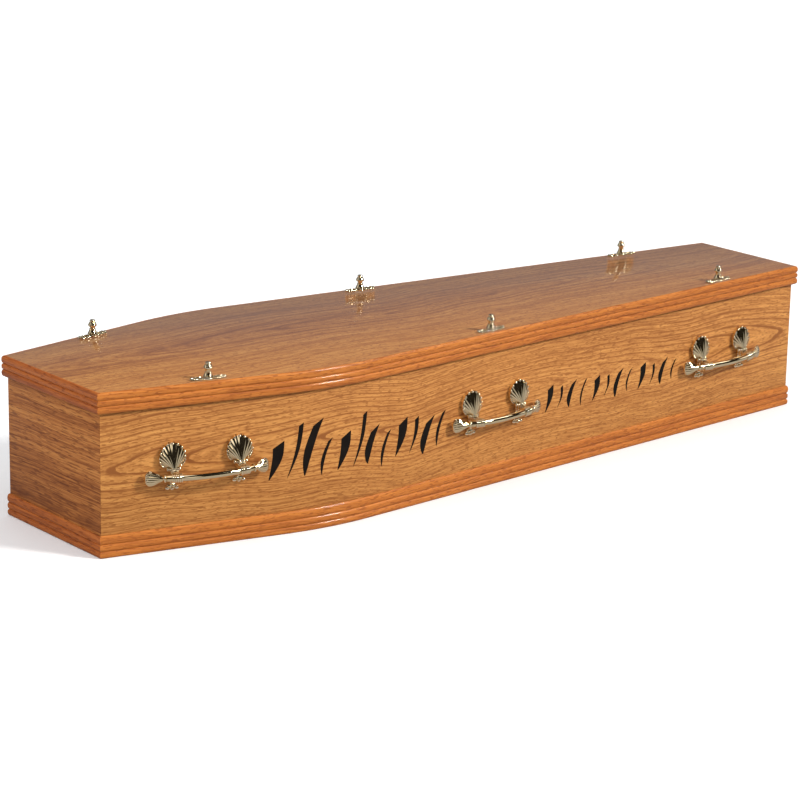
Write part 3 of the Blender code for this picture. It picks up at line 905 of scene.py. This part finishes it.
def polished_brass():
    """Pale brass plate: bright and lightly hazed, darker and browner in the hollows of the casting, partly as
    patina and partly as painted shade.
    """
    material, tree, shader = new_material("pale_brass_plate")
    place = node(tree, "ShaderNodeTexCoord", {}).outputs["Object"]
    cloud = grain(tree, place, (60.0, 60.0, 60.0), 3.0)
    scratch = grain(tree, place, (900.0, 900.0, 900.0), 2.0)
    # Pointiness makes the hollows dark brown and the ridges lighter. The dark hollows are partly patina and
    # partly painted shade that stands in for dark reflections and occlusion.
    hollow = node(tree, "ShaderNodeNewGeometry", {}).outputs["Pointiness"]
    shade_and_patina = maths(tree, "MULTIPLY_ADD", cloud, 0.06, hollow)
    tones = ((0.46, (0.30, 0.18, 0.07)), (0.51, (0.78, 0.60, 0.34)), (0.60, (0.95, 0.84, 0.62)))
    tree.links.new(ramp(tree, shade_and_patina, tones), shader.inputs["Base Color"])
    tree.links.new(maths(tree, "MULTIPLY_ADD", cloud, 0.08, 0.03), shader.inputs["Roughness"])
    bump = node(tree, "ShaderNodeBump", {"Height": scratch, "Strength": 0.05, "Distance": 0.00005})
    tree.links.new(bump.outputs["Normal"], shader.inputs["Normal"])
    shader.inputs["Metallic"].default_value = 1.0
    return material


def black_paint():
    material, tree, shader = new_material("black_sign_paint")
    place = node(tree, "ShaderNodeTexCoord", {}).outputs["Object"]
    cloud = grain(tree, place, (35.0, 35.0, 35.0), 3.0)
    tones = ((0.3, (0.007, 0.0055, 0.0045)), (0.7, (0.012, 0.009, 0.007)))
    tree.links.new(ramp(tree, cloud, tones), shader.inputs["Base Color"])
    tree.links.new(maths(tree, "MULTIPLY_ADD", cloud, 0.15, 0.45), shader.inputs["Roughness"])
    shader.inputs["Specular IOR Level"].default_value = 0.06
    return material


def pale_floor():
    """White floor, which throws less light back onto the object and into its gloss than it shows."""
    material, tree, shader = new_material("pale_floor")
    seen = node(tree, "ShaderNodeLightPath", {}).outputs["Is Camera Ray"]
    tree.links.new(maths(tree, "MULTIPLY_ADD", seen, 0.57, 0.40), shader.inputs["Base Color"])
    shader.inputs["Roughness"].default_value = 0.9
    shader.inputs["Specular IOR Level"].default_value = 0.1
    shader.inputs["Emission Color"].default_value = (1.0, 1.0, 1.0, 1.0)
    tree.links.new(maths(tree, "MULTIPLY", seen, 0.08), shader.inputs["Emission Strength"])
    return material


# Stage


def build_floor():
    bpy.ops.mesh.primitive_plane_add(size=80)
    floor = named("floor")
    floor.data.transform(Matrix.Translation((0, 0, -0.0002)))
    floor.data.materials.append(pale_floor())


def panel(tree, direction, azimuth, elevation, half_angle, strength):
    """A soft-edged light panel of the studio, as the gloss sees it; azimuth runs from -Y towards +X."""
    out = math.cos(math.radians(elevation))
    side = math.radians(azimuth)
    towards = (out * math.sin(side), -out * math.cos(side), math.sin(math.radians(elevation)))
    values = {0: direction, 1: towards}
    facing = node(tree, "ShaderNodeVectorMath", values, operation="DOT_PRODUCT").outputs["Value"]
    edge = math.cos(math.radians(half_angle + 2))
    full = math.cos(math.radians(half_angle - 2))
    values = {"Value": facing, "From Min": edge, "From Max": full, "To Min": 0.0, "To Max": strength}
    return node(tree, "ShaderNodeMapRange", values).outputs["Result"]


def build_world():
    """White behind the object, a soft fill, and for the gloss a darker studio with its light panels."""
    world = bpy.data.worlds.new("studio")
    bpy.context.scene.world = world
    world.use_nodes = True
    tree = world.node_tree
    background = tree.nodes["Background"]
    direction = node(tree, "ShaderNodeTexCoord", {}).outputs["Generated"]
    parts = node(tree, "ShaderNodeSeparateXYZ", {"Vector": direction}).outputs
    tones = ((0.0, (0.17, 0.17, 0.18)), (0.30, (0.15, 0.15, 0.16)), (0.60, (0.03, 0.03, 0.03)))
    backdrop = ramp(tree, parts["Z"], tones)
    dark = (0.020, 0.018, 0.015, 1.0)
    behind_object = maths(tree, "MULTIPLY_ADD", parts["Y"], 4.0, 0.2, clamp=True)
    room = node(
        tree, "ShaderNodeMix", {"Factor": behind_object, 6: dark, 7: backdrop}, data_type="RGBA",
    ).outputs[2]
    panels = (
        (-5, 16, 6, 1.6), (76, 18, 8, 1.5), (72, 51, 3.5, 6.0), (75, 44, 3.5, 6.0), (-60, 25, 8, 0.9),
        (-15, 78, 14, 2.2), (-110, 30, 12, 1.0), (215, 45, 14, 0.6), (130, 50, 12, 0.6),
    )
    light = 0.0
    for azimuth, elevation, half_angle, strength in panels:
        light = maths(tree, "ADD", light, panel(tree, direction, azimuth, elevation, half_angle, strength))
    lit = node(tree, "ShaderNodeVectorMath", {0: room, 1: light}, operation="ADD").outputs["Vector"]
    path = node(tree, "ShaderNodeLightPath", {})
    values = {0: (0.74, 0.75, 0.77), 1: maths(tree, "MULTIPLY_ADD", parts["X"], -0.25, 1.0)}
    fill = node(tree, "ShaderNodeVectorMath", values, operation="MULTIPLY").outputs["Vector"]
    values = {"Factor": path.outputs["Is Glossy Ray"], 6: fill, 7: lit}
    seen = node(tree, "ShaderNodeMix", values, data_type="RGBA").outputs[2]
    values = {"Factor": path.outputs["Is Camera Ray"], 6: seen, 7: (1, 1, 1, 1)}
    behind = node(tree, "ShaderNodeMix", values, data_type="RGBA")
    tree.links.new(behind.outputs[2], background.inputs["Color"])


def aim(lamp, place, target):
    lamp.location = place
    lamp.rotation_euler = (Vector(target) - Vector(place)).to_track_quat("-Z", "Y").to_euler()


def build_lights():
    key_azimuth = math.radians(36)
    key_height = math.radians(33)
    out = math.cos(key_height)
    towards = Vector((out * math.sin(key_azimuth), -out * math.cos(key_azimuth), math.sin(key_height)))
    bpy.ops.object.light_add(type="SUN")
    key = bpy.context.object
    key.name = "key_light"
    key.data.energy = 2.6
    key.data.angle = math.radians(11)
    key.data.color = (1.0, 0.985, 0.96)
    aim(key, towards * 5, (0, 0, 0))
    bpy.ops.object.light_add(type="AREA")
    side = bpy.context.object
    side.name = "head_side_light"
    side.data.shape = "RECTANGLE"
    side.data.size = 0.9
    side.data.size_y = 1.6
    side.data.energy = 28
    side.visible_glossy = False
    aim(side, (-4.6, -1.4, 2.6), (-0.5, 0, 0.3))


def build_camera():
    """The photograph's view, as solved from the coffin's outline."""
    azimuth = -0.67782
    elevation = 0.26959
    roll = 0.01818
    place = Vector((-3.82904, -4.64531, 1.79464))
    focal_pixels = 2774.134
    frame_pixels = 800
    out = math.cos(elevation)
    forward = Vector((-math.sin(azimuth) * out, math.cos(azimuth) * out, -math.sin(elevation)))
    level = forward.cross(Vector((0, 0, 1))).normalized()
    upright = level.cross(forward)
    right = math.cos(roll) * level + math.sin(roll) * upright
    up = math.cos(roll) * upright - math.sin(roll) * level
    bpy.ops.object.camera_add()
    camera = bpy.context.object
    camera.data.sensor_width = 36
    camera.data.lens = focal_pixels * camera.data.sensor_width / frame_pixels
    turned = Matrix((right, up, -forward)).transposed().to_4x4()
    camera.matrix_world = Matrix.Translation(place) @ turned
    bpy.context.scene.camera = camera


bpy.ops.object.select_all(action="DESELECT")
UPRIGHT = (0, 0, 0)
CROSSWISE = (0, 0, math.radians(-90))
FLAT = (math.radians(90), 0, 0)
side_tones = ((0.66, 0.300, 0.082), (0.50, 0.205, 0.053), (0.28, 0.094, 0.023))
end_tones = ((0.62, 0.250, 0.066), (0.43, 0.145, 0.036), (0.17, 0.046, 0.013))
lid_tones = ((0.58, 0.270, 0.086), (0.45, 0.184, 0.059), (0.27, 0.098, 0.042))
strip_tones = ((0.61, 0.205, 0.036), (0.49, 0.150, 0.025), (0.30, 0.078, 0.013))
end_strip_tones = ((0.56, 0.158, 0.027), (0.44, 0.110, 0.018), (0.23, 0.048, 0.008))
side_oak = oak("side_oak", UPRIGHT, 3.1, 1.0, side_tones, (0.185, 115, 1.15), 0.4, (0.48, 0.05, 0.30))
end_oak = oak("end_oak", CROSSWISE, 7.7, 0.5, end_tones, (0.060, 115, 0.70), 1.3, (0.48, 0.06, 0.30))
lid_oak = oak("lid_oak", FLAT, 5.2, 1.1, lid_tones, (0.030, 50, 0.85), 1.2, (0.38, 0.80, 0.04))
strip_figure = (0.6, 115, 0.2)
side_strip_gloss = (0.40, 0.35, 0.06)
end_strip_gloss = (0.40, 0.30, 0.06)
side_strip_oak = oak("side_strip_oak", UPRIGHT, 1.3, 0.8, strip_tones, strip_figure, 0.7, side_strip_gloss)
end_strip_oak = oak("end_strip_oak", CROSSWISE, 2.9, 0.5, end_strip_tones, strip_figure, 1.2, end_strip_gloss)
brass = polished_brass()

build_walls(side_oak, end_oak)
build_lid(lid_oak)
build_strips(side_strip_oak, end_strip_oak)
build_handles(brass)
build_lid_screws(brass)
build_strokes(black_paint())
base_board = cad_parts["base_board"]
base_board.data.materials.clear()
base_board.data.materials.append(lid_oak)

build_floor()
build_world()
build_lights()
build_camera()
bpy.context.scene.view_settings.view_transform = "Standard"
